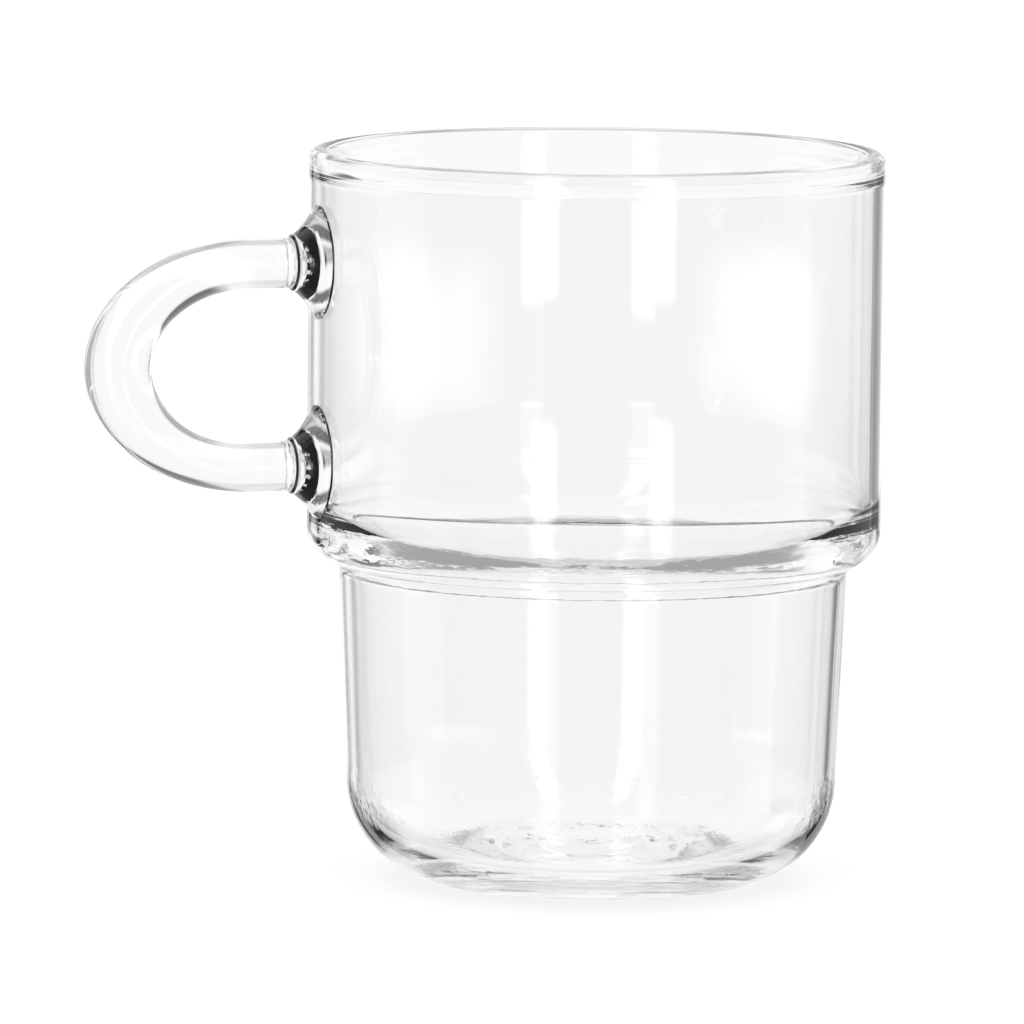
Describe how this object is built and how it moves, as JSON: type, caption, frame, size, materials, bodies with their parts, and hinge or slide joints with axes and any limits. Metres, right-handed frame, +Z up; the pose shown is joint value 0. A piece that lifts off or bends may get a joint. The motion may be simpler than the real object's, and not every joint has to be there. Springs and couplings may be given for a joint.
{
  "type": "coffee cup",
  "caption": "Clear glass coffee mug with a wide upper half, a rounded shoulder step to a narrower lower half, and a round rod loop handle; it stacks into another of its kind.",
  "frame": {"origin": "under the middle of the whole mug, handle included, on the plane it stands on", "axes": "+Z up through the mouth, -X towards the handle, +Y across the mug"},
  "size_m": [0.1074, 0.076, 0.097],
  "materials": {
    "body_glass": "clear, fire polished",
    "handle_glass": "clear, fire polished",
    "boss_glass": "clear, with a weld ridge"
  },
  "bodies": {
    "root": {"glass_body": "body_glass", "handle": "handle_glass", "upper_weld_boss": "boss_glass", "lower_weld_boss": "boss_glass"}
  },
  "joints": []
}
